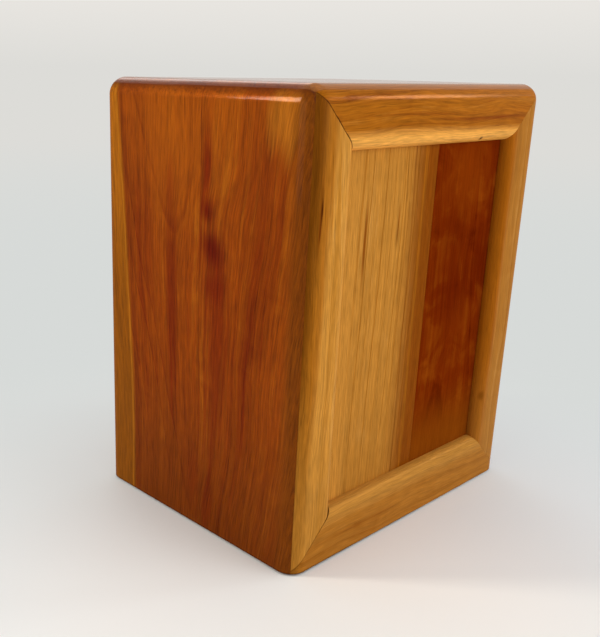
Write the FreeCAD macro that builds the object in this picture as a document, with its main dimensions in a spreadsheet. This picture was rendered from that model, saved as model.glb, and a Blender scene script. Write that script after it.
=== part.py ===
# A small solid-cherry box: mitred boards, a framed two-stave front panel and a screwed-in base
import math
import os

import FreeCAD
import Part
import Sketcher
from FreeCAD import Rotation, Vector

doc = FreeCAD.newDocument("cherry_case")
sheet = doc.addObject("Spreadsheet::Sheet", "Sizes")

# Driving sizes, in millimetres
SIZES = {
    "case_width": 197.0,
    "case_depth": 155.0,
    "case_height": 241.0,
    "board_thick": 19.0,
    "edge_round": 9.5,
    "foot_ease": 0.8,
    "frame_wide": 30.0,
    "sight_round": 6.0,
    "sight_lip": 0.5,
    "panel_thick": 7.0,
    "groove_deep": 6.5,
    "groove_slack": 0.2,
    "panel_room": 0.8,
    "sap_stave_wide": 82.0,
    "spline_wide": 12.0,
    "spline_thick": 3.0,
    "spline_slack": 0.1,
    "spline_inset": 12.5,
    "spline_stop": 42.0,
    "feather_long": 8.0,
    "feather_inset": 18.5,
    "feather_set": 8.0,
    "base_thick": 12.0,
    "base_gap": 0.5,
    "block_side": 21.0,
    "block_high": 30.0,
    "block_chamfer": 7.0,
    "screw_inset": 10.0,
    "screw_long": 32.0,
    "screw_radius": 2.1,
    "screw_tip": 5.0,
    "screw_sink": 0.3,
    "head_radius": 4.1,
    "slot_wide": 1.1,
    "slot_deep": 1.2,
    "hole_slack": 0.25,
    "sink_slack": 0.1,
    "pilot_slack": 0.08,
    "pilot_spare": 3.0,
}

for row, (alias, number) in enumerate(SIZES.items(), start=1):
    sheet.set(f"A{row}", alias)
    sheet.set(f"B{row}", str(number))
    sheet.setAlias(f"B{row}", alias)
doc.recompute()


class Size:
    """A length with both its number and the sheet expression that gives it."""

    def __init__(self, value, text):
        self.value = value
        self.text = text

    def __add__(self, other):
        other = as_size(other)
        return Size(self.value + other.value, f"({self.text} + {other.text})")

    def __sub__(self, other):
        other = as_size(other)
        return Size(self.value - other.value, f"({self.text} - {other.text})")

    def __mul__(self, factor):
        return Size(self.value * factor, f"({self.text} * {factor})")

    def __truediv__(self, divisor):
        return Size(self.value / divisor, f"({self.text} / {divisor})")

    def __neg__(self):
        return Size(-self.value, f"(0 - {self.text})")


def as_size(number):
    if isinstance(number, Size):
        return number
    return Size(float(number), str(float(number)))


def size(alias):
    return Size(SIZES[alias], f"Sizes.{alias}")


ZERO = as_size(0)
WIDTH = size("case_width")
DEPTH = size("case_depth")
HEIGHT = size("case_height")
BOARD = size("board_thick")
FRAME = size("frame_wide")
BASE_THICK = size("base_thick")

# Outer faces of the case, and the depths of the panel's groove behind the front face
LEFT = -(WIDTH / 2)
RIGHT = WIDTH / 2
FRONT = -(DEPTH / 2)
BACK = DEPTH / 2
PANEL_SET = size("sight_round") + size("sight_lip")
GROOVE_BACK = PANEL_SET + size("panel_thick") + size("groove_slack")

# Directions of the case
ACROSS = Vector(1, 0, 0)
INWARD = Vector(0, 1, 0)
UP = Vector(0, 0, 1)


def bind(thing, **lengths):
    for name, length in lengths.items():
        thing.setExpression(name, as_size(length).text)


def place(thing, x, y, z, rotation=None):
    thing.Placement = FreeCAD.Placement(Vector(0, 0, 0), rotation or Rotation())
    for axis, length in (("x", x), ("y", y), ("z", z)):
        thing.setExpression(f"Placement.Base.{axis}", as_size(length).text)


def axes(x_axis, y_axis, z_axis):
    return Rotation(x_axis, y_axis, z_axis, "XYZ")


def add_sketch(body, plane, name):
    sketch = body.newObject("Sketcher::SketchObject", name)
    for feature in body.Origin.OriginFeatures:
        if feature.Role == plane:
            sketch.AttachmentSupport = [(feature, "")]
    sketch.MapMode = "FlatFace"
    return sketch


def hold_point(sketch, geometry, point, x, y):
    """Fix a sketch point at a distance from the sketch origin along both axes."""
    for kind, axis_line, length in (("DistanceX", -2, x), ("DistanceY", -1, y)):
        length = as_size(length)
        if length.value == 0:
            sketch.addConstraint(Sketcher.Constraint("PointOnObject", geometry, point, axis_line))
            continue
        rule = Sketcher.Constraint(kind, -1, 1, geometry, point, length.value)
        index = sketch.addConstraint(rule)
        sketch.setExpression(f"Constraints[{index}]", length.text)


def hold_radius(sketch, geometry, radius):
    index = sketch.addConstraint(Sketcher.Constraint("Radius", geometry, radius.value))
    sketch.setExpression(f"Constraints[{index}]", radius.text)


def draw_outline(sketch, corners, arcs=None):
    """Draw a closed outline; an arc runs anticlockwise from its corner to the next one."""
    arcs = arcs or {}
    spots = [Vector(as_size(x).value, as_size(y).value, 0) for x, y in corners]
    edges = []
    for index, start in enumerate(spots):
        end = spots[(index + 1) % len(spots)]
        if index in arcs:
            radius, centre_x, centre_y = arcs[index]
            centre = Vector(centre_x.value, centre_y.value, 0)
            circle = Part.Circle(centre, Vector(0, 0, 1), radius.value)
            first = math.atan2(start.y - centre.y, start.x - centre.x)
            last = math.atan2(end.y - centre.y, end.x - centre.x)
            edge = sketch.addGeometry(Part.ArcOfCircle(circle, first, last))
        else:
            edge = sketch.addGeometry(Part.LineSegment(start, end))
        edges.append(edge)
    for index, edge in enumerate(edges):
        sketch.addConstraint(Sketcher.Constraint("Coincident", edges[index - 1], 2, edge, 1))
    for edge, (x, y) in zip(edges, corners):
        hold_point(sketch, edge, 1, x, y)
    for index, (radius, centre_x, centre_y) in arcs.items():
        hold_radius(sketch, edges[index], radius)


def draw_circle(sketch, x, y, radius):
    circle = Part.Circle(Vector(x.value, y.value, 0), Vector(0, 0, 1), radius.value)
    geometry = sketch.addGeometry(circle)
    hold_point(sketch, geometry, 3, x, y)
    hold_radius(sketch, geometry, radius)


def pad(body, sketch, length, name):
    feature = body.newObject("PartDesign::Pad", name)
    feature.Profile = sketch
    bind(feature, Length=length)
    return feature


def pocket(body, sketch, name, length=None, reverse=False):
    feature = body.newObject("PartDesign::Pocket", name)
    feature.Profile = sketch
    feature.Reversed = reverse
    if length is None:
        feature.Type = "ThroughAll"
    else:
        bind(feature, Length=length)
    return feature


def box(name, length, width, height):
    solid = doc.addObject("Part::Box", name)
    bind(solid, Length=length, Width=width, Height=height)
    return solid


def common(name, base, tool):
    shared = doc.addObject("Part::Common", name)
    shared.Base = base
    shared.Tool = tool
    shared.Refine = True
    return shared


def cut_away(name, base, tools):
    """Take one or more loose cutters out of a piece."""
    cutters = doc.addObject("Part::Compound", name + "_cutters")
    cutters.Links = tools
    result = doc.addObject("Part::Cut", name)
    result.Base = base
    result.Tool = cutters
    result.Label = name
    return result


def mirrored(name, source, normal):
    copy = doc.addObject("Part::Mirroring", name)
    copy.Source = source
    copy.Normal = normal
    copy.Label = name
    return copy


# Outer form that every board is rounded to once the case is glued up
def make_outer_form():
    body = doc.addObject("PartDesign::Body", "outer_form")
    plan = add_sketch(body, "XY_Plane", "outer_plan")
    draw_outline(plan, [(ZERO, ZERO), (WIDTH, ZERO), (WIDTH, DEPTH), (ZERO, DEPTH)])
    block = pad(body, plan, HEIGHT, "outer_block")
    doc.recompute()
    rounded = []
    for number, edge in enumerate(block.Shape.Edges, start=1):
        heights = [vertex.Point.z for vertex in edge.Vertexes]
        if max(heights) > HEIGHT.value / 2:
            rounded.append(f"Edge{number}")
    rounding = body.newObject("PartDesign::Fillet", "outer_rounding")
    rounding.Base = (block, rounded)
    bind(rounding, Radius=size("edge_round"))
    doc.recompute()
    foot = []
    for number, edge in enumerate(rounding.Shape.Edges, start=1):
        if edge.BoundBox.ZMax < 0.001:
            foot.append(f"Edge{number}")
    easing = body.newObject("PartDesign::Chamfer", "foot_easing")
    easing.Base = (rounding, foot)
    bind(easing, Size=size("foot_ease"))
    place(body, LEFT, FRONT, ZERO)
    doc.recompute()
    return body


outer_form = make_outer_form()


# Boards with 45 degree edges, wide on the outside and narrow on the inside
def make_board(name, half_span, low, high, inner_low, inner_high):
    blank = doc.addObject("Part::Wedge", name + "_blank")
    bind(blank, Ymin=ZERO, Ymax=BOARD)
    bind(blank, Xmin=-half_span, Xmax=half_span)
    bind(blank, X2min=BOARD - half_span, X2max=half_span - BOARD)
    bind(blank, Zmin=low, Zmax=high, Z2min=inner_low, Z2max=inner_high)
    return blank


side_blank = make_board("side", DEPTH / 2, ZERO, HEIGHT, ZERO, HEIGHT - BOARD)
place(side_blank, LEFT, ZERO, ZERO, axes(-INWARD, ACROSS, UP))
back_blank = make_board("back", WIDTH / 2, ZERO, HEIGHT, ZERO, HEIGHT - BOARD)
place(back_blank, ZERO, BACK, ZERO, axes(-ACROSS, -INWARD, UP))
top_blank = make_board("top", WIDTH / 2, FRONT, BACK, FRONT + BOARD, BACK - BOARD)
place(top_blank, ZERO, ZERO, HEIGHT, axes(ACROSS, -UP, INWARD))


# Front frame members, drawn in section: outer edge at zero, sight edge at the frame width
def make_member(name, length, bevelled):
    body = doc.addObject("PartDesign::Body", name + "_blank")
    section = add_sketch(body, "YZ_Plane", name + "_section")
    sight = size("sight_round")
    groove = FRAME - size("groove_deep")
    corners = [
        (ZERO, ZERO),
        (FRAME - sight, ZERO),
        (FRAME, sight),
        (FRAME, PANEL_SET),
        (groove, PANEL_SET),
        (groove, GROOVE_BACK),
        (FRAME, GROOVE_BACK),
        (FRAME, BOARD),
        (BOARD if bevelled else ZERO, BOARD),
    ]
    draw_outline(section, corners, {1: (sight, FRAME - sight, sight)})
    pad(body, section, length, name + "_stock")
    doc.recompute()
    reach = FRAME + BOARD
    ends = add_sketch(body, "XY_Plane", name + "_mitres")
    draw_outline(ends, [(ZERO, ZERO), (reach, reach), (ZERO, reach)])
    draw_outline(ends, [(length, ZERO), (length, reach), (length - reach, reach)])
    pocket(body, ends, name + "_mitre_cut", reverse=True)
    doc.recompute()
    if not bevelled:
        flanks = add_sketch(body, "XZ_Plane", name + "_flanks")
        draw_outline(flanks, [(ZERO, ZERO), (reach, reach), (ZERO, reach)])
        draw_outline(flanks, [(length, ZERO), (length, reach), (length - reach, reach)])
        pocket(body, flanks, name + "_flank_cut")
        doc.recompute()
    return body


stile_blank = make_member("stile", HEIGHT, True)
place(stile_blank, LEFT, FRONT, ZERO, axes(UP, ACROSS, INWARD))
top_rail_blank = make_member("upper_rail", WIDTH, True)
place(top_rail_blank, LEFT, FRONT, HEIGHT, axes(ACROSS, -UP, INWARD))
bottom_rail_blank = make_member("lower_rail", WIDTH, False)
place(bottom_rail_blank, RIGHT, FRONT, ZERO, axes(-ACROSS, UP, INWARD))


# Splines set square across a mitre; the mitre's two faces look inward along first and second
def make_spline(name, corner, first, second, inset, wide, thick, start, length, slack=ZERO):
    run = first.cross(second)
    across = (first - second) * math.sqrt(0.5)
    inward = (first + second) * math.sqrt(0.5)
    wide = wide + slack * 2
    thick = thick + slack * 2
    strip = box(name, wide, thick, length + slack * 2)
    spot = []
    for axis in range(3):
        reach = corner[axis] + inset * (first + second)[axis]
        reach = reach + (start - slack) * run[axis]
        reach = reach - wide / 2 * across[axis]
        reach = reach - thick / 2 * inward[axis]
        spot.append(reach)
    place(strip, *spot, axes(across, inward, run))
    return strip


def long_spline(name, corner, first, second, span):
    """A spline along a case corner and the slot that takes it."""
    stop = size("spline_stop")
    sizes = (size("spline_inset"), size("spline_wide"), size("spline_thick"), stop, span - stop * 2)
    strip = make_spline(name, corner, first, second, *sizes)
    slot = make_spline(name + "_slot", corner, first, second, *sizes, size("spline_slack"))
    return strip, slot


def frame_feather(name, corner, first, second):
    """A short flat spline across a frame mitre and the slot that takes it."""
    sizes = (
        size("feather_inset"),
        size("spline_wide"),
        size("feather_long"),
        size("feather_set"),
        size("spline_thick"),
    )
    strip = make_spline(name, corner, first, second, *sizes)
    slot = make_spline(name + "_slot", corner, first, second, *sizes, size("spline_slack"))
    return strip, slot


front_low_left = (LEFT, FRONT, ZERO)
front_high_left = (LEFT, FRONT, HEIGHT)
front_high_right = (RIGHT, FRONT, HEIGHT)
back_low_left = (LEFT, BACK, ZERO)
back_high_left = (LEFT, BACK, HEIGHT)

front_spline, front_slot = long_spline(
    "corner_spline_front_left", front_low_left, ACROSS, INWARD, HEIGHT)
back_spline, back_slot = long_spline(
    "corner_spline_back_left", back_low_left, -INWARD, ACROSS, HEIGHT)
top_left_spline, top_left_slot = long_spline(
    "top_spline_left", front_high_left, ACROSS, -UP, DEPTH)
top_front_spline, top_front_slot = long_spline(
    "top_spline_front", front_high_right, INWARD, -UP, WIDTH)
top_back_spline, top_back_slot = long_spline(
    "top_spline_back", back_high_left, -INWARD, -UP, WIDTH)
upper_feather, upper_feather_slot = frame_feather(
    "frame_spline_upper_left", front_high_left, ACROSS, -UP)
lower_feather, lower_feather_slot = frame_feather(
    "frame_spline_lower_left", front_low_left, UP, ACROSS)

# Slots on the right are mirror images of those on the left
back_slot_right = mirrored("back_slot_right", back_slot, ACROSS)
top_right_slot = mirrored("top_right_slot", top_left_slot, ACROSS)
upper_feather_slot_right = mirrored("upper_feather_slot_right", upper_feather_slot, ACROSS)
lower_feather_slot_right = mirrored("lower_feather_slot_right", lower_feather_slot, ACROSS)

# Boards and frame members, rounded to the outer form and slotted
left_side = cut_away(
    "left_side",
    common("side_rounded", side_blank, outer_form),
    [front_slot, back_slot, top_left_slot])
back_board = cut_away(
    "back_board",
    common("back_rounded", back_blank, outer_form),
    [back_slot, back_slot_right, top_back_slot])
top_board = cut_away(
    "top_board",
    common("top_rounded", top_blank, outer_form),
    [top_left_slot, top_right_slot, top_front_slot, top_back_slot])
left_stile = cut_away(
    "left_stile",
    common("stile_rounded", stile_blank, outer_form),
    [front_slot, upper_feather_slot, lower_feather_slot])
top_rail = cut_away(
    "top_rail",
    common("upper_rail_rounded", top_rail_blank, outer_form),
    [top_front_slot, upper_feather_slot, upper_feather_slot_right])
bottom_rail = cut_away(
    "bottom_rail",
    common("lower_rail_rounded", bottom_rail_blank, outer_form),
    [lower_feather_slot, lower_feather_slot_right])

# Panel of two staves standing loose in the frame's groove
panel_start = FRAME - size("groove_deep") + size("panel_room")
panel_wide = WIDTH - panel_start * 2
panel_high = HEIGHT - panel_start * 2
sap_wide = size("sap_stave_wide")
sap_stave = box("panel_sapwood_stave", sap_wide, size("panel_thick"), panel_high)
place(sap_stave, LEFT + panel_start, FRONT + PANEL_SET, panel_start)
heart_stave = box("panel_heartwood_stave", panel_wide - sap_wide, size("panel_thick"), panel_high)
place(heart_stave, LEFT + panel_start + sap_wide, FRONT + PANEL_SET, panel_start)


# Glue block in a lower inside corner, drilled for a base screw
def make_corner_block():
    body = doc.addObject("PartDesign::Body", "corner_block_front_left")
    plan = add_sketch(body, "XY_Plane", "block_plan")
    side = size("block_side")
    short = side - size("block_chamfer")
    corners = [(ZERO, ZERO), (side, ZERO), (side, short), (short, side), (ZERO, side)]
    draw_outline(plan, corners)
    pad(body, plan, size("block_high"), "block_stock")
    doc.recompute()
    drilling = add_sketch(body, "XY_Plane", "block_drilling")
    inset = size("screw_inset")
    draw_circle(drilling, inset, inset, size("screw_radius") + size("pilot_slack"))
    depth = size("screw_long") + size("screw_sink") - BASE_THICK + size("pilot_spare")
    pocket(body, drilling, "block_pilot", depth, reverse=True)
    place(body, LEFT + BOARD, FRONT + BOARD, BASE_THICK)
    doc.recompute()
    return body


front_block = make_corner_block()


# Base panel, flush with the rim and loose between the walls
def make_base():
    body = doc.addObject("PartDesign::Body", "base_panel")
    gap = BOARD + size("base_gap")
    wide = WIDTH - gap * 2
    deep = DEPTH - gap * 2
    plan = add_sketch(body, "XY_Plane", "base_plan")
    draw_outline(plan, [(ZERO, ZERO), (wide, ZERO), (wide, deep), (ZERO, deep)])
    pad(body, plan, BASE_THICK, "base_stock")
    doc.recompute()
    spots = add_sketch(body, "XY_Plane", "base_screw_spots")
    near = size("screw_inset") - size("base_gap")
    through = size("screw_radius") + size("hole_slack")
    for x in (near, wide - near):
        for y in (near, deep - near):
            draw_circle(spots, x, y, through)
    doc.recompute()
    holes = body.newObject("PartDesign::Hole", "base_screw_holes")
    holes.Profile = spots
    holes.Reversed = True
    holes.DepthType = "ThroughAll"
    holes.ThreadType = "None"
    holes.HoleCutType = "Countersink"
    holes.HoleCutCustomValues = True
    holes.HoleCutCountersinkAngle = 90.0
    sink = size("head_radius") + size("screw_sink") + size("sink_slack")
    bind(holes, Diameter=through * 2, HoleCutDiameter=sink * 2)
    place(body, LEFT + gap, FRONT + gap, ZERO)
    doc.recompute()
    return body


base_panel = make_base()


# Slotted countersunk screw, head down
def make_screw():
    body = doc.addObject("PartDesign::Body", "screw_blank")
    section = add_sketch(body, "XZ_Plane", "screw_section")
    head = size("head_radius")
    shank = size("screw_radius")
    sink = size("screw_sink")
    end = size("screw_long") + sink
    corners = [
        (ZERO, sink),
        (head, sink),
        (shank, sink + head - shank),
        (shank, end - size("screw_tip")),
        (ZERO, end),
    ]
    draw_outline(section, corners)
    turning = body.newObject("PartDesign::Revolution", "screw_turning")
    turning.Profile = section
    turning.ReferenceAxis = (section, ["V_Axis"])
    turning.Angle = 360.0
    x = LEFT + BOARD + size("screw_inset")
    y = FRONT + BOARD + size("screw_inset")
    place(body, x, y, ZERO)
    slot = box("screw_slot", head * 3, size("slot_wide"), sink + size("slot_deep"))
    place(slot, x - head * 1.5, y - size("slot_wide") / 2, ZERO)
    doc.recompute()
    return cut_away("screw_front_left", body, [slot])


screw = make_screw()
screw_back = mirrored("screw_back_left", screw, INWARD)
screws = doc.addObject("Part::Compound", "base_screws")
screws.Links = [
    screw,
    screw_back,
    mirrored("screw_front_right", screw, ACROSS),
    mirrored("screw_back_right", screw_back, ACROSS),
]

back_block = mirrored("corner_block_back_left", front_block, INWARD)

# Every piece of the case, with the right-hand ones mirrored from the left
pieces = [
    left_side,
    mirrored("right_side", left_side, ACROSS),
    back_board,
    top_board,
    left_stile,
    mirrored("right_stile", left_stile, ACROSS),
    top_rail,
    bottom_rail,
    sap_stave,
    heart_stave,
    upper_feather,
    mirrored("frame_spline_upper_right", upper_feather, ACROSS),
    lower_feather,
    mirrored("frame_spline_lower_right", lower_feather, ACROSS),
    front_spline,
    mirrored("corner_spline_front_right", front_spline, ACROSS),
    back_spline,
    mirrored("corner_spline_back_right", back_spline, ACROSS),
    top_left_spline,
    mirrored("top_spline_right", top_left_spline, ACROSS),
    top_front_spline,
    top_back_spline,
    front_block,
    mirrored("corner_block_front_right", front_block, ACROSS),
    back_block,
    mirrored("corner_block_back_right", back_block, ACROSS),
    base_panel,
    screws,
]

# Check every object and write one file per piece
doc.recompute()
for thing in doc.Objects:
    if "Invalid" in thing.State or "Error" in thing.State:
        raise RuntimeError(f"{thing.Name} did not compute")
os.makedirs("parts", exist_ok=True)
for piece in pieces:
    if piece.Shape.isNull() or not piece.Shape.isValid():
        raise RuntimeError(f"{piece.Label} has no sound shape")
    piece.Shape.exportStep(f"parts/{piece.Label}.step")
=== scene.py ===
import math
from types import SimpleNamespace

import bmesh
import bpy
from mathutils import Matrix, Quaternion, Vector


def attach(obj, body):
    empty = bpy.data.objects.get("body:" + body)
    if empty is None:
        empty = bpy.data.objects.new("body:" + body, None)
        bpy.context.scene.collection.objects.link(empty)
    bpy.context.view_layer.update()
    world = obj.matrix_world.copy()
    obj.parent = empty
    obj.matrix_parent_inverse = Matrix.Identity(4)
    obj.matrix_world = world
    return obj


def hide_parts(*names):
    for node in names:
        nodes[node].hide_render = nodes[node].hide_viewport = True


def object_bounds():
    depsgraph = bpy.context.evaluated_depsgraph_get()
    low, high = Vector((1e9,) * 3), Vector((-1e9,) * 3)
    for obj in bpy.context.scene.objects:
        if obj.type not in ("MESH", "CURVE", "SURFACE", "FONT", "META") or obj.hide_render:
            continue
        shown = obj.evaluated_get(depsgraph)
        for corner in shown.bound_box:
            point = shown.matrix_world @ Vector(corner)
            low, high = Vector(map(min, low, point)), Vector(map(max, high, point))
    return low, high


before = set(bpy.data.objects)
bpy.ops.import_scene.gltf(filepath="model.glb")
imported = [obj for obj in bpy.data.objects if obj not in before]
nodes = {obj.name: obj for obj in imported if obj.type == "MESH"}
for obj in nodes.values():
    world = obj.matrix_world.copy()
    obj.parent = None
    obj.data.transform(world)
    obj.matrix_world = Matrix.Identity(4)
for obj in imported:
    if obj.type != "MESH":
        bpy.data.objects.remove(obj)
cad_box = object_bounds()
scene = bpy.context.scene
scene.view_settings.view_transform = "Standard"

# Outer faces of the case in metres, read from the frame
LEFT, FRONT, FOOT = cad_box[0]
RIGHT, BACK = cad_box[1][:2]
MM = 0.001


def linear(part):
    """One channel of a screen colour, 0 to 255, as light by the sRGB curve."""
    part = part / 255.0
    return part / 12.92 if part < 0.04045 else ((part + 0.055) / 1.055) ** 2.4


def tone(red, green, blue):
    """Linear colour for one given as it shows on a screen, in parts of 255."""
    return tuple(linear(part) for part in (red, green, blue))


class Shader:
    """Short ways to add shader nodes to a material or the world."""
    # The mix node's sockets for a factor and two colours, and for the colour that comes out
    MIX_INPUTS = (0, 6, 7)
    MIX_OUTPUT = 2

    def __init__(self, owner):
        self.owner = owner
        owner.use_nodes = True
        self.tree = owner.node_tree
        self.tree.nodes.clear()

    def feed(self, socket, value):
        if isinstance(value, bpy.types.NodeSocket):
            self.tree.links.new(value, socket)
        else:
            socket.default_value = value

    def add(self, kind, inputs=None, **settings):
        node = self.tree.nodes.new(kind)
        for name, value in settings.items():
            setattr(node, name, value)
        for name, value in (inputs or {}).items():
            self.feed(node.inputs[name], value)
        return node

    def math(self, operation, first, second=0.0, third=0.0):
        node = self.add("ShaderNodeMath", {0: first, 1: second, 2: third}, operation=operation)
        return node.outputs[0]

    def sum(self, *values):
        total = values[0]
        for value in values[1:]:
            total = self.math("ADD", total, value)
        return total

    def product(self, first, second):
        return self.math("MULTIPLY", first, second)

    def scaled(self, value, factor, shift=0.0):
        return self.math("MULTIPLY_ADD", value, factor, shift)

    def centred(self, value, gain):
        """A noise value turned about its middle and scaled."""
        return self.scaled(value, gain, -gain / 2)

    def length(self, first, second):
        """The distance with these two steps at a right angle."""
        squares = self.math("MULTIPLY_ADD", first, first, self.math("POWER", second, 2.0))
        return self.math("SQRT", squares)

    def vector(self, x, y, z):
        return self.add("ShaderNodeCombineXYZ", {"X": x, "Y": y, "Z": z}).outputs[0]

    def noise(self, point, scale=1.0, detail=2.0, rough=0.5, distort=0.0):
        inputs = {
            "Vector": point,
            "Scale": scale,
            "Detail": detail,
            "Roughness": rough,
            "Distortion": distort,
        }
        return self.add("ShaderNodeTexNoise", inputs).outputs["Fac"]

    def smooth(self, value, low, high, to_low=0.0, to_high=1.0):
        inputs = {
            "Value": value,
            "From Min": low,
            "From Max": high,
            "To Min": to_low,
            "To Max": to_high,
        }
        return self.add("ShaderNodeMapRange", inputs, interpolation_type="SMOOTHSTEP").outputs[0]

    def mix(self, factor, first, second, blend="MIX"):
        node = self.add("ShaderNodeMix", data_type="RGBA", blend_type=blend)
        for place, value in zip(self.MIX_INPUTS, (factor, first, second)):
            self.feed(node.inputs[place], (*value, 1.0) if isinstance(value, tuple) else value)
        return node.outputs[self.MIX_OUTPUT]

    def ramp(self, factor, *stops, easing="EASE"):
        node = self.add("ShaderNodeValToRGB", {"Fac": factor})
        colours = node.color_ramp
        colours.interpolation = easing
        while len(colours.elements) < len(stops):
            colours.elements.new(0.5)
        for element, (place, colour) in zip(colours.elements, stops):
            element.position = place
            element.color = (*colour, 1.0)
        return node.outputs["Color"]

    def finish(self, surface):
        is_world = isinstance(self.owner, bpy.types.World)
        output = self.add("ShaderNodeOutputWorld" if is_world else "ShaderNodeOutputMaterial")
        self.feed(output.inputs["Surface"], surface.outputs[0])
        return self.owner


# Touches of colour on a board, placed in millimetres across and along its face.
# ragged says how far the streaks of the grain break up an edge, lean and bow how it slopes and curves.
PATCH_RIM = 1.15
PATCH_HEART = 0.15
PATCH_RAGGED = 4.0
EDGE_RAGGED = 20.0
SEAM_RAGGED = 4.0
LIMIT_FADE = 0.5
SEAM_FADE = 1.0
ANYWHERE = 1000.0


def patch(across, along, wide, tall, colour, strength, ragged=0.6, lean=0.0, limit=None):
    """A soft patch of another colour, drawn out along the grain and cut off at a glue line."""
    def paint(s, grain, base):
        off = s.sum(grain.drift, s.scaled(grain.along, -lean, lean * along - across))
        side = s.math("DIVIDE", off, wide)
        climb = s.scaled(grain.along, 1.0 / tall, -along / tall)
        away = s.sum(s.length(side, climb), s.centred(grain.streak, ragged * PATCH_RAGGED))
        share = s.smooth(away, PATCH_RIM, PATCH_HEART, 0.0, strength)
        if limit is not None:
            share = s.product(share, s.smooth(grain.across, limit + LIMIT_FADE, limit - LIMIT_FADE))
        return s.mix(share, base, colour)
    return paint


def wavering(s, grain, ragged, lean, bow):
    """The place across the face, reckoned along a line that leans, bows and is broken up by streaks."""
    bend = s.product(grain.along, s.scaled(grain.along, -bow, -lean))
    return s.sum(grain.drift, bend, s.centred(grain.streak, ragged * EDGE_RAGGED))


def band(start, end, colour, strength, ragged=0.3, lean=0.0, bow=0.0):
    """Another colour from start to end across the face and on beyond it."""
    def paint(s, grain, base):
        place = wavering(s, grain, ragged, lean, bow)
        return s.mix(s.smooth(place, start, end, 0.0, strength), base, colour)
    return paint


def stripe(middle, half, colour, strength, ragged=0.2, bow=0.0):
    """A soft line of another colour along the grain."""
    def paint(s, grain, base):
        place = wavering(s, grain, ragged, 0.0, bow)
        away = s.math("ABSOLUTE", s.scaled(place, 1.0, -middle))
        return s.mix(s.smooth(away, half, half * 0.2, 0.0, strength), base, colour)
    return paint


def rise(low, high, colour, strength):
    """Another colour from low to high along the grain and on beyond it."""
    def paint(s, grain, base):
        return s.mix(s.smooth(grain.along, low, high, 0.0, strength), base, colour)
    return paint


def seam(along_part, across_part, shift, half, colour, strength, ragged=0.3, low=-ANYWHERE, high=ANYWHERE):
    """A thin line where the board meets its neighbour on a slant, between two places across the face."""
    def paint(s, grain, base):
        place = s.sum(s.scaled(grain.along, along_part), s.scaled(grain.across, across_part, shift))
        away = s.sum(s.math("ABSOLUTE", place), s.centred(grain.knots, ragged * SEAM_RAGGED))
        share = s.product(
            s.smooth(grain.across, low - SEAM_FADE, low + SEAM_FADE),
            s.smooth(grain.across, high + SEAM_FADE, high - SEAM_FADE))
        share = s.product(share, s.smooth(away, half, half * 0.3, 0.0, strength))
        return s.mix(share, base, colour)
    return paint


# Which way a board's grain runs, the direction across its face and the one through it
UPRIGHT_SIDE = ("Z", "Y", "X")
UPRIGHT_FRONT = ("Z", "X", "Y")
LEVEL_FRONT = ("X", "Z", "Y")
LEVEL_TOP = ("X", "Y", "Z")

# What all the wood has in common; HALF_HEIGHT is where slanting streaks keep their place, in millimetres
HALF_HEIGHT = 120.0
TONE_STOPS = (0.22, 0.5, 0.78)
PORE_TONE = 0.3
END_TONE = 0.45
GRAIN_RELIEF = 0.08 * MM
OIL_TINT = (1.0, 0.68, 0.3, 1.0)
LUSTRE = 0.07
VARNISH_ROUGHNESS = 0.1


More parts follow.
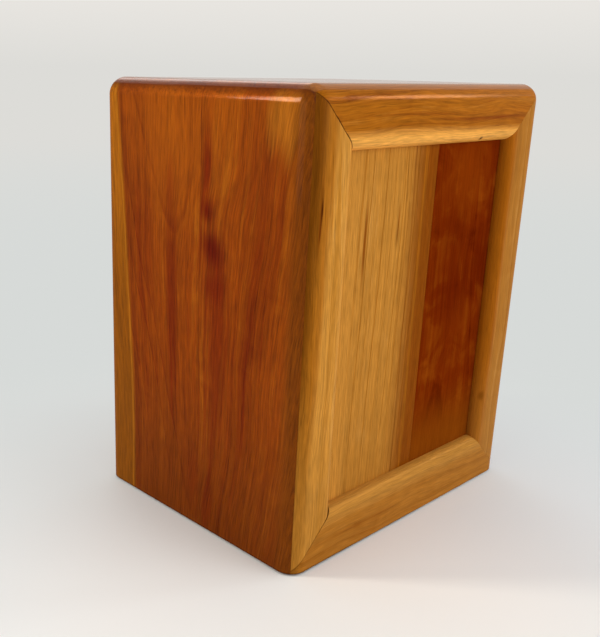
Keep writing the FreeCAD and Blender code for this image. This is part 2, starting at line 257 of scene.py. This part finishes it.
def wood(name, way, tones, seed, pith=(0.0, 60.0), lean=0.0, taper=0.0, ring=9.0, lines=0.25, swell=0.1,
         broad=0.6, streaks=0.5, fibres=1.3, mottle=0.3, sway=5.0, slant=0.0, fan=0.0, end_grain=(0.25, 0.8),
         polish=0.03, rough=0.2, varnish=0.0, touches=()):
    """Oiled wood: rings about a pith outside the board, streaks, fibres, pores and mottling.

    Lengths are in millimetres. pith is the middle of the rings, across and through the board, and ring is
    their width. lean and taper slope the rings, slant and fan slope the streaks, and sway lets both wander.
    lines, swell, broad, streaks, fibres and mottle are strengths. end_grain is where a face starts to count
    as cut across the grain and where it fully does.
    """
    s = Shader(bpy.data.materials.new(name))
    place = s.add("ShaderNodeTexCoord").outputs["Object"]
    axes = s.add("ShaderNodeSeparateXYZ", {0: place})
    along, across, through = (s.product(axes.outputs[axis], 1.0 / MM) for axis in way)

    def grained(side_scale, along_scale, detail, roughness=0.55, distort=0.0, side=across, shift=0.0):
        """Noise drawn out along the grain, with its scales in turns per millimetre."""
        spot = s.vector(
            s.scaled(side, side_scale, seed + shift),
            s.scaled(through, side_scale, seed * 0.7),
            s.scaled(along, along_scale, seed * 1.3 + shift))
        return s.noise(spot, 1.0, detail, roughness, distort)

    wander = s.centred(grained(0.012, 0.007, 2.0), sway * 4.0)
    leaning = s.product(s.scaled(across, -fan, -slant), s.scaled(along, 1.0, -HALF_HEIGHT))
    bent = s.sum(across, wander, leaning)
    drift = s.sum(across, s.scaled(wander, 0.25))
    streak = grained(0.2, 0.005, 3.0, 0.6, side=bent)
    fibre = grained(0.75, 0.013, 4.0, 0.75, side=bent)
    knots = grained(0.16, 0.16, 2.0, shift=6.0)
    grain = SimpleNamespace(along=along, across=across, drift=drift, streak=streak, knots=knots)

    # Growth rings of uneven width, each ending in a thin darker line of its own strength
    off_side = s.sum(bent, s.scaled(along, -lean, -pith[0]))
    off_deep = s.scaled(through, 1.0, -pith[1])
    reach = s.math("MULTIPLY_ADD", along, taper, s.length(off_side, off_deep))
    uneven = s.noise(s.vector(s.scaled(reach, 0.35 / ring, seed), 0.0, 0.0), 1.0, 1.0)
    turns = s.scaled(s.sum(reach, s.centred(uneven, ring * 4.0)), 1.0 / ring)
    part_turn = s.math("FRACT", turns)
    strength = s.add("ShaderNodeTexWhiteNoise", {"W": s.math("FLOOR", turns)}, noise_dimensions="1D")
    line = s.product(s.smooth(part_turn, 0.88, 0.96), s.smooth(part_turn, 1.0, 0.97))
    line = s.product(line, s.scaled(strength.outputs["Value"], 0.9, 0.1))

    # Rings, broad bands, streaks and mottling choose between the board's three tones, then come its touches
    shade = s.sum(
        s.centred(grained(0.045, 0.0028, 3.0, 0.6, side=bent, shift=4.0), broad),
        s.centred(streak, streaks),
        s.centred(grained(0.05, 0.05, 3.0, 0.55, 0.9, shift=9.0), mottle),
        s.scaled(part_turn, -swell, 0.5 + swell / 2),
        s.scaled(line, -lines))
    colour = s.ramp(shade, *zip(TONE_STOPS, tones))
    for paint in touches:
        colour = paint(s, grain, colour)

    # Fibres and pores over every colour, and darker wood where the surface cuts across the grain
    hair = grained(1.7, 0.09, 2.0, 0.6, side=bent, shift=3.0)
    light = s.sum(s.centred(fibre, fibres * 0.7), s.centred(hair, fibres * 0.8), 1.0)
    colour = s.mix(1.0, colour, s.vector(light, light, light), "MULTIPLY")
    pores = s.smooth(grained(2.6, 0.09, 1.0, side=bent, shift=2.0), 0.64, 0.78, 0.0, 0.3)
    colour = s.mix(pores, colour, tuple(part * PORE_TONE for part in tones[0]))
    normal = s.add("ShaderNodeSeparateXYZ", {0: s.add("ShaderNodeNewGeometry").outputs["Normal"]})
    cut = s.smooth(s.math("ABSOLUTE", normal.outputs[way[0]]), *end_grain)
    colour = s.mix(s.scaled(cut, 0.6), colour, tuple(part * END_TONE for part in tones[0]))

    # Gloss that is duller on fibres, smears and end grain
    smear = grained(0.03, 0.02, 3.0, shift=14.0)
    dull = s.sum(s.centred(fibre, 0.16), s.centred(smear, 0.22), s.scaled(cut, 0.25, rough))
    height = s.sum(fibre, hair, s.scaled(pores, -1.2), s.scaled(line, -0.4))
    bump = s.add("ShaderNodeBump", {"Strength": 0.15, "Distance": GRAIN_RELIEF, "Height": height})
    bsdf = s.add("ShaderNodeBsdfPrincipled", {
        "Base Color": colour,
        "Roughness": dull,
        "Metallic": LUSTRE,
        "Specular IOR Level": polish,
        "Specular Tint": OIL_TINT,
        "Coat Weight": varnish,
        "Coat Roughness": VARNISH_ROUGHNESS,
        "Normal": bump.outputs[0]})
    return s.finish(bsdf)


# Dark, middle and light tone of each kind of wood
RUST = (tone(106, 33, 1), tone(138, 60, 4), tone(166, 88, 13))
DEEP = (tone(86, 20, 1), tone(113, 37, 3), tone(138, 62, 9))
PALE = (tone(164, 102, 30), tone(189, 127, 49), tone(209, 150, 74))
STRAW = (tone(176, 112, 34), tone(203, 139, 55), tone(220, 160, 80))
HONEY = (tone(142, 82, 16), tone(170, 109, 35), tone(192, 132, 58))
AMBER = (tone(134, 66, 7), tone(165, 95, 17), tone(192, 124, 44))

# Colours and places that several touches share
GOLDEN = tone(170, 98, 15)
BROWN = tone(118, 58, 5)
FLAME = tone(108, 28, 1)
BLOOD = tone(96, 18, 0)
GUM = tone(66, 17, 0)
# Painted contact shade: a dark band along the foot of the boards, where the case stands on the floor
PAINTED_FOOT_SHADE = (1.9, 0.4, tone(44, 20, 4), 0.9)
GLUE_LINE = -5.0
SAPWOOD_BOW = 0.00025
CORNER_LEAN = 0.05
GUM_LEAN = 0.04
UPPER_MITRE = (0.707, 0.707, -100.76)
LOWER_MITRE = (0.707, -0.707, 69.65)

left_touches = (
    # Painted shade towards the foot and painted light towards the top, with a golden cloud there
    rise(110.0, 0.0, tone(102, 45, 4), 0.75),
    rise(150.0, 240.0, tone(156, 75, 8), 0.4),
    patch(14.0, 212.0, 34.0, 60.0, tone(166, 84, 11), 0.5),
    # Red-brown clouds drawn out along the grain
    patch(40.0, 150.0, 9.0, 50.0, tone(122, 42, 2), 0.45),
    patch(18.0, 128.0, 7.0, 60.0, FLAME, 0.7),
    patch(19.0, 186.0, 5.0, 26.0, tone(126, 46, 3), 0.6),
    patch(-18.0, 100.0, 20.0, 66.0, tone(112, 34, 2), 0.6),
    patch(-48.0, 185.0, 16.0, 50.0, tone(122, 44, 2), 0.5),
    # Red flame that ends at a glue line
    patch(-12.0, 150.0, 16.0, 70.0, tone(118, 38, 2), 0.7, ragged=0.5, lean=0.08, limit=GLUE_LINE),
    patch(-9.8, 199.0, 6.5, 32.0, tone(112, 28, 1), 0.85, ragged=0.4, lean=0.02, limit=GLUE_LINE),
    patch(-10.3, 178.0, 7.0, 10.0, BLOOD, 0.9, ragged=0.3, lean=0.1, limit=GLUE_LINE),
    patch(-13.0, 160.0, 11.5, 14.0, BLOOD, 0.95, ragged=0.4, lean=0.2, limit=GLUE_LINE),
    patch(-16.0, 140.0, 12.0, 9.0, FLAME, 0.7, ragged=0.5, lean=0.1, limit=GLUE_LINE),
    stripe(GLUE_LINE - 0.2, 0.7, tone(104, 30, 1), 0.45, ragged=0.0),
    # Red streaks at the foot
    patch(-14.0, 16.0, 8.0, 22.0, tone(100, 28, 1), 0.6),
    patch(-2.0, 30.0, 5.0, 24.0, tone(104, 32, 1), 0.5),
    # Sapwood strip along the back edge, with a dark line beside it and a bright one on its edge
    stripe(48.0, 3.0, tone(112, 44, 3), 0.6, ragged=0.1, bow=SAPWOOD_BOW),
    band(49.5, 52.5, tone(134, 75, 6), 0.85, ragged=0.1, bow=SAPWOOD_BOW),
    patch(67.0, 205.0, 7.0, 80.0, GOLDEN, 0.7, ragged=0.3, lean=0.07),
    stripe(52.5, 1.2, tone(182, 110, 22), 0.45, ragged=0.05, bow=SAPWOOD_BOW),
    # Lighter upper corner, and painted shade in a dark band down the rounded corner at the front
    patch(-62.0, 226.0, 16.0, 18.0, tone(176, 104, 24), 0.7),
    band(-62.0, -71.0, tone(118, 59, 5), 0.75, ragged=0.1),
    # Painted contact shade along the foot
    rise(*PAINTED_FOOT_SHADE),
)
left_stile_touches = (
    # Painted shade in the dark band down the rounded corner, on this side of the mitre
    band(-90.3, -96.3, tone(160, 93, 14), 0.85, ragged=0.15, lean=CORNER_LEAN),
    band(-97.3, -103.3, tone(112, 58, 6), 0.85, ragged=0.1, lean=CORNER_LEAN),
    # A darker line and a darker foot
    stripe(-79.0, 3.0, tone(176, 112, 28), 0.5),
    rise(120.0, 15.0, tone(174, 119, 45), 0.65),
    # Gum streak
    patch(-90.8, 182.0, 1.3, 24.0, BROWN, 0.6, ragged=0.2, lean=GUM_LEAN),
    patch(-90.2, 186.0, 0.8, 6.5, GUM, 0.9, ragged=0.1, lean=GUM_LEAN),
    patch(-90.8, 177.0, 0.6, 8.0, tone(92, 34, 2), 0.75, ragged=0.1, lean=GUM_LEAN),
    # Painted contact shade along the foot
    rise(*PAINTED_FOOT_SHADE),
)
pale_touches = (
    # Darker foot, and lighter wood beside the left stile, partly painted light over the stile's shadow
    rise(120.0, 20.0, tone(166, 109, 38), 0.6),
    band(-50.0, -58.0, tone(194, 132, 53), 0.8),
    # Orange band beside the red stave, with finer lines in it
    band(-22.0, 2.0, tone(129, 62, 3), 0.95, ragged=0.5),
    stripe(-11.0, 1.0, BROWN, 0.45, ragged=0.4),
    stripe(-17.5, 0.8, tone(142, 80, 10), 0.4, ragged=0.5),
    stripe(-2.0, 1.5, tone(168, 100, 20), 0.5, ragged=0.3),
    # Two dark streaks
    patch(-49.4, 166.0, 1.3, 25.0, tone(134, 64, 6), 0.9, ragged=0.15, lean=0.02),
    patch(-22.7, 172.0, 0.9, 15.0, tone(134, 68, 7), 0.85, ragged=0.15, lean=0.02),
)
red_touches = (
    # Darker and lighter clouds, and a browner foot
    patch(32.0, 160.0, 20.0, 22.0, tone(94, 22, 1), 0.4, ragged=0.5),
    patch(62.0, 140.0, 16.0, 30.0, tone(92, 20, 1), 0.6, ragged=0.5),
    patch(36.0, 128.0, 26.0, 20.0, tone(98, 25, 2), 0.75, ragged=0.5),
    patch(40.0, 196.0, 24.0, 26.0, tone(134, 56, 6), 0.55, ragged=0.5),
    patch(46.0, 112.0, 14.0, 16.0, tone(122, 46, 5), 0.35, ragged=0.5),
    rise(75.0, 35.0, tone(128, 64, 9), 0.8),
)
right_stile_touches = (
    # Painted shade along both edges, paler towards the foot, and a small knot
    band(79.0, 73.0, tone(160, 88, 12), 0.9, ragged=0.1),
    band(92.5, 97.5, tone(128, 76, 18), 0.7, ragged=0.05),
    rise(90.0, 20.0, tone(168, 112, 44), 0.45),
    patch(70.8, 57.0, 2.2, 4.0, tone(108, 54, 3), 0.6, ragged=0.4),
    # Painted contact shade along the foot
    rise(*PAINTED_FOOT_SHADE),
)
top_rail_touches = (
    # Painted light from the floor on the lower edge, the left mitre, two dark streaks, and painted shade for
    # a small notch at the sight edge
    band(221.0, 215.0, tone(240, 171, 79), 0.9, ragged=0.2),
    seam(*UPPER_MITRE, 0.6, tone(60, 24, 2), 0.85),
    patch(224.0, 40.0, 1.4, 60.0, tone(122, 52, 5), 0.7, ragged=0.4),
    patch(226.5, -20.0, 1.2, 50.0, tone(126, 58, 6), 0.6, ragged=0.4),
    patch(213.0, 39.0, 1.2, 2.0, tone(64, 26, 4), 0.95, ragged=0.1),
)
bottom_rail_touches = (
    # Painted light on the upper edge, two brown streaks, and the left mitre, darkest where it stands open
    band(18.0, 25.0, tone(186, 130, 55), 0.75, ragged=0.1),
    patch(12.0, -40.0, 1.6, 40.0, tone(138, 76, 10), 0.5, ragged=0.3),
    patch(6.0, 40.0, 1.6, 60.0, tone(144, 86, 16), 0.4, ragged=0.3),
    seam(*LOWER_MITRE, 1.1, tone(40, 16, 2), 0.95, ragged=0.2, low=23.5, high=31.0),
    seam(*LOWER_MITRE, 0.6, tone(80, 38, 4), 0.45, ragged=0.4),
    # Painted contact shade along the foot
    band(*PAINTED_FOOT_SHADE, ragged=0.0),
)

# Sides that the photograph doesn't show: a red streak and a golden edge on each
right_touches = (
    patch(20.0, 120.0, 9.0, 90.0, tone(110, 34, 1), 0.6),
    band(-50.0, -56.0, GOLDEN, 0.6),
    # Painted contact shade along the foot
    rise(*PAINTED_FOOT_SHADE),
)
back_touches = (
    patch(-16.0, 100.0, 12.0, 90.0, tone(108, 34, 1), 0.55),
    band(70.0, 78.0, GOLDEN, 0.55),
    # Painted contact shade along the foot
    rise(*PAINTED_FOOT_SHADE),
)
top_touches = (
    patch(10.0, -20.0, 14.0, 90.0, tone(112, 36, 2), 0.5),
    band(-63.0, -69.0, tone(164, 94, 17), 0.9, ragged=0.1),
)

# Each board's material slot in the record, and its wood
CASE = "cherry_case_boards"
FRAME = "cherry_frame"
boards = {
    "left_side": (CASE, wood(
        "cherry_left", UPRIGHT_SIDE, RUST, 1.7, pith=(-11.0, -40.0), lean=0.15, taper=-0.06, ring=7.0,
        lines=0.12, broad=0.8, fibres=1.6, slant=-0.04, fan=0.0015, polish=0.0, rough=0.25, varnish=0.11,
        touches=left_touches)),
    "right_side": (CASE, wood(
        "cherry_right", UPRIGHT_SIDE, RUST, 5.2, pith=(22.0, 40.0), lean=-0.05, taper=0.05, ring=7.5,
        lines=0.14, touches=right_touches)),
    "back_board": (CASE, wood(
        "cherry_back", UPRIGHT_FRONT, RUST, 8.4, pith=(-14.0, 30.0), lean=0.04, taper=0.06, ring=8.0,
        lines=0.14, touches=back_touches)),
    "top_board": (CASE, wood(
        "cherry_top", LEVEL_TOP, RUST, 3.9, pith=(8.0, 190.0), lean=0.03, taper=0.05, ring=8.0,
        lines=0.15, end_grain=(0.3, 0.75), polish=0.13, rough=0.12, varnish=0.15, touches=top_touches)),
    "left_stile": (FRAME, wood(
        "cherry_stile_left", UPRIGHT_FRONT, STRAW, 11.3, pith=(-120.0, -50.0), taper=0.02, ring=6.0,
        lines=0.2, broad=0.4, streaks=0.3, fibres=1.4, touches=left_stile_touches)),
    "right_stile": (FRAME, wood(
        "cherry_stile_right", UPRIGHT_FRONT, HONEY, 12.9, pith=(140.0, -50.0), taper=0.02, ring=7.0,
        lines=0.2, fibres=0.8, touches=right_stile_touches)),
    "top_rail": (FRAME, wood(
        "cherry_rail_top", LEVEL_FRONT, AMBER, 14.2, pith=(262.0, -60.0), lean=0.02, taper=0.03, ring=6.0,
        lines=0.1, touches=top_rail_touches)),
    "bottom_rail": (FRAME, wood(
        "cherry_rail_bottom", LEVEL_FRONT, HONEY, 16.6, pith=(-30.0, -50.0), lean=0.02, taper=0.03, ring=6.0,
        lines=0.05, broad=0.35, streaks=0.25, fibres=1.0, rough=0.34, touches=bottom_rail_touches)),
    "panel_sapwood_stave": ("cherry_sapwood", wood(
        "cherry_pale_stave", UPRIGHT_FRONT, PALE, 18.1, pith=(-180.0, -60.0), lean=0.03, ring=7.0,
        lines=1.6, swell=0.05, broad=0.35, streaks=0.3, sway=1.5, polish=0.01, touches=pale_touches)),
    "panel_heartwood_stave": ("cherry_heartwood", wood(
        "cherry_red_stave", UPRIGHT_FRONT, DEEP, 20.5, pith=(30.0, -30.0), taper=0.05, ring=14.0,
        lines=0.1, broad=0.4, streaks=0.3, fibres=0.7, mottle=0.7, polish=0.0, touches=red_touches)),
}

# How the boards' edges are eased, and the open end of the lower left mitre. The eases are the most that an
# edge gets: the bevel holds back, on some boards to nothing, where short edges would overlap.
SAME_PLACE = 1e-6
FLAT_ANGLE = math.radians(0.6)
ARRIS_ANGLE = math.radians(30.0)
ARRIS_EASE, ARRIS_STEPS = 0.25 * MM, 2
FOOT_EASE, FOOT_STEPS = 1.3 * MM, 4
ON_FLOOR = 0.01 * MM
ON_MITRE = 0.05 * MM
MITRE_GAP = 0.9 * MM
GAP_START = 20.0 * MM
GAP_RUN = 6.0 * MM


def is_outer_foot(edge):
    """Whether an edge runs along the outside of the case where it stands on the floor."""
    if len(edge.link_faces) != 2 or any(vert.co.z > FOOT + ON_FLOOR for vert in edge.verts):
        return False
    middle = (edge.verts[0].co + edge.verts[1].co) / 2
    upright = min(edge.link_faces, key=lambda face: abs(face.normal.z))
    return all(upright.normal[axis] * math.copysign(1.0, middle[axis]) > -0.1 for axis in (0, 1))


def open_lower_mitre(shape):
    """The bottom rail's left mitre stands open by a hair at the sight edge."""
    for vert in shape.verts:
        height = vert.co.z - FOOT
        if abs(vert.co.x - LEFT - height) < ON_MITRE and height > GAP_START:
            vert.co.x += MITRE_GAP * min(1.0, (height - GAP_START) / GAP_RUN)


def ease(shape, edges, size, steps):
    bmesh.ops.bevel(
        shape, geom=edges, offset=size, offset_type="OFFSET", segments=steps, profile=0.5,
        affect="EDGES", clamp_overlap=True)


def eased_board(name, material):
    """A board with its arrises eased as far as its short edges allow, and its outer foot edge."""
    shape = bmesh.new()
    shape.from_mesh(nodes[name].data)
    bmesh.ops.remove_doubles(shape, verts=shape.verts, dist=SAME_PLACE)
    bmesh.ops.dissolve_limit(shape, angle_limit=FLAT_ANGLE, verts=shape.verts, edges=shape.edges)
    if name == "bottom_rail":
        open_lower_mitre(shape)
    ease(shape, [edge for edge in shape.edges if is_outer_foot(edge)], FOOT_EASE, FOOT_STEPS)
    arrises = [edge for edge in shape.edges if edge.calc_face_angle(0.0) > ARRIS_ANGLE]
    ease(shape, arrises, ARRIS_EASE, ARRIS_STEPS)
    for face in shape.faces:
        face.smooth = True
    mesh = bpy.data.meshes.new("dressed_" + name)
    shape.to_mesh(mesh)
    shape.free()
    mesh.materials.append(material)
    piece = bpy.data.objects.new("dressed_" + name, mesh)
    scene.collection.objects.link(piece)
    normals = piece.modifiers.new("flat_faces", "WEIGHTED_NORMAL")
    normals.weight = 80
    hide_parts(name)
    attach(piece, "case")


for name, (slot, material) in boards.items():
    eased_board(name, material)


# Parts inside the case: maple splines in the joints, poplar corner blocks and the cherry base
MAPLE = (tone(196, 158, 106), tone(214, 180, 130), tone(228, 200, 156))
POPLAR = (tone(158, 148, 96), tone(188, 176, 124), tone(210, 200, 154))
BARE = (tone(148, 84, 40), tone(174, 110, 60), tone(194, 134, 82))
maple = wood("maple_spline", UPRIGHT_FRONT, MAPLE, 23.7, lines=0.2, fibres=0.5, polish=0.2, rough=0.5)
poplar = wood(
    "poplar_block", UPRIGHT_SIDE, POPLAR, 27.1, pith=(30.0, 20.0), ring=5.0, lines=0.4, fibres=0.6,
    polish=0.2, rough=0.6)
bare_cherry = wood(
    "cherry_base", LEVEL_TOP, BARE, 31.3, pith=(12.0, 60.0), lean=0.04, taper=0.05, ring=8.0, lines=0.35,
    fibres=0.8, polish=0.2, rough=0.5)
for name, node in nodes.items():
    if name not in boards and name != "base_screws":
        inside = maple if "spline" in name else poplar if "block" in name else bare_cherry
        node.data.materials.clear()
        node.data.materials.append(inside)


# Base screws: where they stand on the base, and their threads
SCREW_X, SCREW_Y = 69.5 * MM, 48.5 * MM
ROOT, CREST, PITCH = 1.45 * MM, 2.1 * MM, 1.5 * MM
THREAD_LOW, SHOULDER, TIP = 13.5 * MM, 27.3 * MM, 32.0 * MM
STEPS_PER_TURN = 28
SUNK_IN_ROOT = 0.15 * MM
LEAST_NARROW = 0.05
TOOTH_SHARE = 0.8
TOOTH_FOOT, TOOTH_CREST = 0.5, 0.08
CREASE_ANGLE = math.radians(40.0)


def brass():
    """Turned brass: bright, a little tarnished, with fine turning marks and scratches."""
    s = Shader(bpy.data.materials.new("turned_brass"))
    place = s.add("ShaderNodeTexCoord").outputs["Object"]
    tarnish = s.noise(place, 420.0, 4.0, 0.6)
    turned = s.add("ShaderNodeMapping", {"Vector": place, "Scale": (900.0, 900.0, 6000.0)}).outputs[0]
    scratch = s.noise(turned, 1.0, 2.0, 0.6)
    colour = s.ramp(tarnish, (0.3, tone(150, 106, 44)), (0.5, tone(202, 160, 82)), (0.7, tone(222, 184, 108)))
    rough = s.sum(s.centred(tarnish, 0.3), s.scaled(scratch, 0.2, 0.2))
    bump = s.add("ShaderNodeBump", {"Strength": 0.2, "Distance": 0.03 * MM, "Height": scratch})
    bsdf = s.add("ShaderNodeBsdfPrincipled", {
        "Base Color": colour, "Roughness": rough, "Metallic": 1.0, "Normal": bump.outputs[0]})
    return s.finish(bsdf)


def wind_thread(shape, axis):
    """A thread wound round one screw, from nothing at its lower end to a fine point at the tip."""
    rings = []
    for step in range(int((TIP - THREAD_LOW) / PITCH * STEPS_PER_TURN) + 1):
        height = THREAD_LOW + PITCH * step / STEPS_PER_TURN
        narrow = min(1.0, max(LEAST_NARROW, (TIP + PITCH - height) / (TIP + PITCH - SHOULDER)))
        start = min(1.0, step / STEPS_PER_TURN)
        angle = math.tau * step / STEPS_PER_TURN
        turn = Vector((math.cos(angle), math.sin(angle)))
        outer = (ROOT + (CREST - ROOT) * start) * narrow
        inner = (ROOT - SUNK_IN_ROOT) * narrow
        section = ((inner, -TOOTH_FOOT), (outer, -TOOTH_CREST), (outer, TOOTH_CREST), (inner, TOOTH_FOOT))
        rings.append([
            shape.verts.new((*(axis + turn * arm), height + part * PITCH * TOOTH_SHARE))
            for arm, part in section])
    corners = len(rings[0])
    for first, second in zip(rings, rings[1:]):
        for corner in range(corners):
            following = (corner + 1) % corners
            shape.faces.new((first[corner], first[following], second[following], second[corner]))
    shape.faces.new(rings[0])
    shape.faces.new(list(reversed(rings[-1])))


def threaded_screws():
    """The four base screws: the turned blanks cut down to their roots, with a thread wound on each."""
    shape = bmesh.new()
    shape.from_mesh(nodes["base_screws"].data)
    bmesh.ops.remove_doubles(shape, verts=shape.verts, dist=SAME_PLACE)
    for vert in shape.verts:
        if vert.co.z > THREAD_LOW:
            axis = Vector((math.copysign(SCREW_X, vert.co.x), math.copysign(SCREW_Y, vert.co.y)))
            arm = Vector((vert.co.x, vert.co.y)) - axis
            vert.co.xy = axis + arm * ROOT / CREST
    for side in (-1, 1):
        for end in (-1, 1):
            wind_thread(shape, Vector((side * SCREW_X, end * SCREW_Y)))
    bmesh.ops.recalc_face_normals(shape, faces=shape.faces)
    mesh = bpy.data.meshes.new("threaded_base_screws")
    shape.to_mesh(mesh)
    shape.free()
    mesh.materials.append(brass())
    mesh.shade_smooth()
    mesh.set_sharp_from_angle(angle=CREASE_ANGLE)
    piece = bpy.data.objects.new("threaded_base_screws", mesh)
    scene.collection.objects.link(piece)
    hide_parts("base_screws")
    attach(piece, "base")


threaded_screws()


# Pale floor that fades into the backdrop with the distance from a point in front of the case, in metres
FLOOR_RADIUS = 8.0
FLOOR_DROP = 0.3 * MM
FADE_CENTRE = (-0.13, -0.14, 0.0)
NEAR_GLOW = tone(234, 230, 224)
BACKDROP = tone(215, 218, 216)
HORIZON = tone(221, 220, 216)
HAZE = tone(232, 229, 224)
CLOSE_UNDER = 1.2 * MM
RIM = 2.5 * MM


def seen_directly(s):
    """One for what the camera sees, straight or in a gloss, and nought for the light on the object."""
    path = s.add("ShaderNodeLightPath")
    seen = path.outputs["Is Camera Ray"]
    for name in ("Is Glossy Ray", "Is Transmission Ray"):
        seen = s.math("MAXIMUM", seen, path.outputs[name])
    return seen


def floor_paper():
    """Paper that shows the shadow near the case, and is clear from below and to the case's underside."""
    s = Shader(bpy.data.materials.new("floor_paper"))
    spot = s.add("ShaderNodeTexCoord").outputs["Object"]
    distance = s.add("ShaderNodeVectorMath", {0: spot, 1: FADE_CENTRE}, operation="DISTANCE")
    away = distance.outputs["Value"]
    cloud = s.noise(spot, 3.0, 3.0)
    paper = s.mix(cloud, tone(247, 246, 244), tone(244, 242, 239))
    # Painted shade: the paper turns darker and cooler further from the case
    paper = s.mix(s.smooth(away, 0.08, 0.26), paper, tone(233, 237, 239))
    matt = s.add("ShaderNodeBsdfDiffuse", {"Color": paper})
    haze = s.mix(s.smooth(away, 0.12, 0.32), NEAR_GLOW, BACKDROP)
    haze = s.mix(s.smooth(away, 0.6, 3.0), haze, HORIZON)
    glow = s.add("ShaderNodeEmission", {"Color": haze, "Strength": 1.0})
    fade = s.product(s.smooth(away, 0.14, 0.45), seen_directly(s))
    faded = s.add("ShaderNodeMixShader", {0: fade, 1: matt.outputs[0], 2: glow.outputs[0]})

    clear = s.add("ShaderNodeBsdfTransparent")
    below = s.add("ShaderNodeNewGeometry").outputs["Backfacing"]
    close = s.math("LESS_THAN", s.add("ShaderNodeLightPath").outputs["Ray Length"], CLOSE_UNDER)
    axes = s.add("ShaderNodeSeparateXYZ", {0: spot})
    for axis, side in (("X", RIGHT), ("Y", BACK)):
        inside = s.math("LESS_THAN", s.math("ABSOLUTE", axes.outputs[axis]), side - RIM)
        close = s.product(close, inside)
    see_through = s.math("MAXIMUM", below, close)
    return s.finish(s.add("ShaderNodeMixShader", {0: see_through, 1: faded.outputs[0], 2: clear.outputs[0]}))


def make_floor():
    mesh = bpy.data.meshes.new("floor")
    shape = bmesh.new()
    bmesh.ops.create_circle(shape, cap_ends=True, segments=128, radius=FLOOR_RADIUS)
    shape.to_mesh(mesh)
    shape.free()
    floor = bpy.data.objects.new("floor", mesh)
    floor.location.z = FOOT - FLOOR_DROP
    scene.collection.objects.link(floor)
    mesh.materials.append(floor_paper())


make_floor()


# Studio light: a small warm lamp behind on the left for the bright upper edge, two weak ones behind and on
# the right, and broad soft boxes on the left, in front on the right and overhead. Sizes are in metres.
WHITE = (1.0, 1.0, 1.0)
WARM = (1.0, 0.95, 0.82)
UPPER_CASE = (0.0, 0.0, 0.22)
MID_CASE = (0.0, 0.0, 0.12)
CASE_SHOULDER = (0.0, 0.0, 0.2)


def add_softbox(name, place, target, width, height, watts, colour=WHITE):
    data = bpy.data.lights.new(name, "AREA")
    data.shape = "RECTANGLE"
    data.size = width
    data.size_y = height
    data.energy = watts
    data.color = colour
    light = bpy.data.objects.new(name, data)
    light.location = place
    aim = Vector(target) - Vector(place)
    light.rotation_euler = aim.to_track_quat("-Z", "Y").to_euler()
    scene.collection.objects.link(light)


add_softbox("light_behind_left", (-0.93, 0.75, 0.63), UPPER_CASE, 0.18, 0.36, watts=6.6, colour=WARM)
add_softbox("light_behind_right", (0.95, -0.6, 0.66), UPPER_CASE, 0.2, 0.2, watts=1.7)
add_softbox("light_behind", (0.5, 1.0, 0.9), UPPER_CASE, 0.7, 0.3, watts=1.2)
add_softbox("light_left", (-1.25, 0.3, 0.35), MID_CASE, 0.9, 0.7, watts=2.0)
add_softbox("light_right", (0.45, -1.1, 0.55), MID_CASE, 1.0, 1.0, watts=7.0)
add_softbox("light_overhead", (0.1, -0.1, 1.6), CASE_SHOULDER, 1.2, 1.2, watts=4.0)

# Pale room that lights the case evenly, and the haze above the horizon that the camera sees
ROOM_COLOUR = (1.0, 0.995, 0.99, 1.0)
ROOM_STRENGTH = 0.46
HAZE_HEIGHT = 0.07


def make_room():
    scene.world = bpy.data.worlds.new("room")
    s = Shader(scene.world)
    room = s.add("ShaderNodeBackground", {"Color": ROOM_COLOUR, "Strength": ROOM_STRENGTH})
    way = s.add("ShaderNodeSeparateXYZ", {0: s.add("ShaderNodeTexCoord").outputs["Generated"]})
    shade = s.ramp(way.outputs["Z"], (0.0, HORIZON), (HAZE_HEIGHT, HAZE), easing="LINEAR")
    sky = s.add("ShaderNodeBackground", {"Color": shade})
    s.finish(s.add("ShaderNodeMixShader", {0: seen_directly(s), 1: room.outputs[0], 2: sky.outputs[0]}))


make_room()

# Camera at the photograph's viewpoint; the angles are its turn to the right, its tip down and its roll
IMAGE_LONG_SIDE = 637.0
FOCAL_PIXELS = 847.1
SHIFT_RIGHT_PIXELS = 88.0
SHIFT_UP_PIXELS = 16.5
CAMERA_PLACE = (-0.3815, FRONT - 0.2446, 0.2456)
CAMERA_DEGREES = (42.69, 17.41, 1.12)
camera_data = bpy.data.cameras.new("camera")
camera_data.sensor_width = 36.0
camera_data.lens = FOCAL_PIXELS * camera_data.sensor_width / IMAGE_LONG_SIDE
camera_data.shift_x = SHIFT_RIGHT_PIXELS / IMAGE_LONG_SIDE
camera_data.shift_y = SHIFT_UP_PIXELS / IMAGE_LONG_SIDE
camera = bpy.data.objects.new("camera", camera_data)
camera.location = CAMERA_PLACE
yaw, pitch, roll = (math.radians(angle) for angle in CAMERA_DEGREES)
look = Vector((math.sin(yaw) * math.cos(pitch), math.cos(yaw) * math.cos(pitch), -math.sin(pitch)))
camera.rotation_mode = "QUATERNION"
camera.rotation_quaternion = look.to_track_quat("-Z", "Y") @ Quaternion((0.0, 0.0, 1.0), roll)
scene.collection.objects.link(camera)
scene.camera = camera
